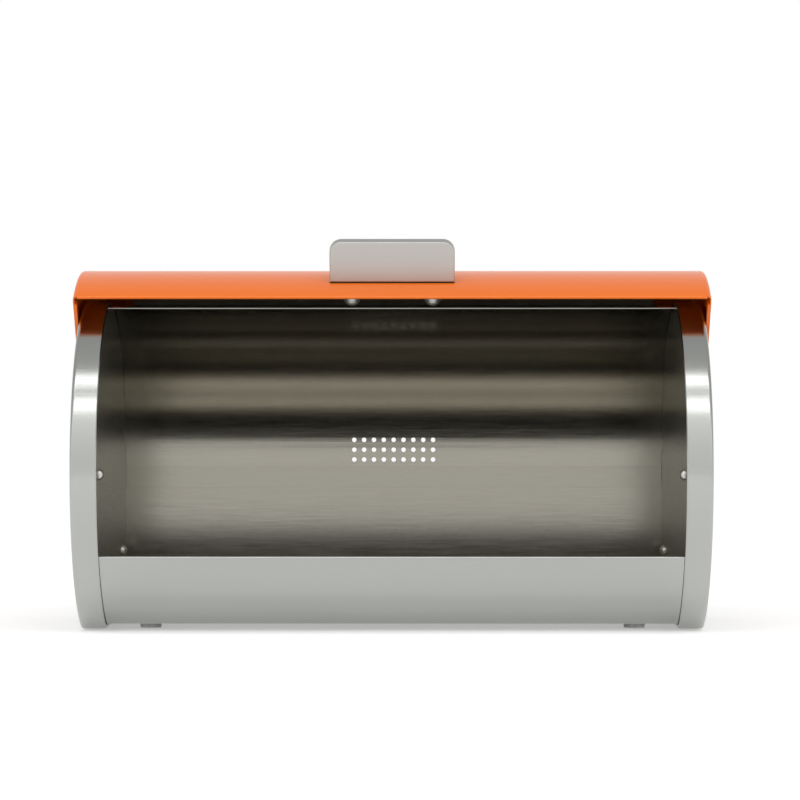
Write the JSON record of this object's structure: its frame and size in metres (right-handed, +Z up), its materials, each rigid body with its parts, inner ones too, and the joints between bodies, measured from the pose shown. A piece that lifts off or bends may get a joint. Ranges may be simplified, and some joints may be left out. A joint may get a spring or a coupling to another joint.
{
  "type": "roll top bread box",
  "caption": "Free-standing bread box with a body of bent stainless sheet between D-shaped end caps and an orange curved lid that rolls up over the top on side pivots.",
  "frame": {"origin": "centre of the overall box at rest (lid open), on the surface that the feet stand on", "axes": "+X along the width to the right as seen from the front, +Y from the open front to the back, +Z up"},
  "size_m": [0.3994, 0.2178, 0.2442],
  "materials": {
    "satin_steel": "satin brushed stainless",
    "inner_steel": "fine satin stainless",
    "orange_paint": "gloss powder coat",
    "satin_silver": "satin",
    "fastener_steel": "bright",
    "rubber": "matt",
    "nylon": "moulded"
  },
  "bodies": {
    "box": {"base_tray": "satin_steel", "cap_standoffs_left": "fastener_steel", "cap_standoffs_right": "fastener_steel", "end_cap_left": "satin_steel", "end_cap_right": "satin_steel", "lid_stop_left": "rubber", "lid_stop_right": "rubber", "panel_screws_left": "fastener_steel", "panel_screws_right": "fastener_steel", "pivot_nut_left": "fastener_steel", "pivot_nut_right": "fastener_steel", "pivot_pin_left": "fastener_steel", "pivot_pin_right": "fastener_steel", "pivot_plate_left": "fastener_steel", "pivot_plate_right": "fastener_steel", "pivot_washer_left": "nylon", "pivot_washer_right": "nylon", "rubber_feet": "rubber", "side_panel_left": "inner_steel", "side_panel_right": "inner_steel", "wrap_shell": "satin_steel"},
    "lid": {"handle_cap_nuts": "satin_silver", "handle_gasket": "rubber", "handle_studs": "fastener_steel", "handle_tab": "satin_silver", "handle_washers": "fastener_steel", "lid_arm_left": "orange_paint", "lid_arm_right": "orange_paint", "lid_skin": "orange_paint"}
  },
  "joints": [
    {"name": "lid_turn", "type": "hinge", "parent": "box", "child": "lid", "pos_m": [0, 0.00506, 0.1074], "axis": [1, 0, 0], "range_deg": [0, 95]}
  ]
}
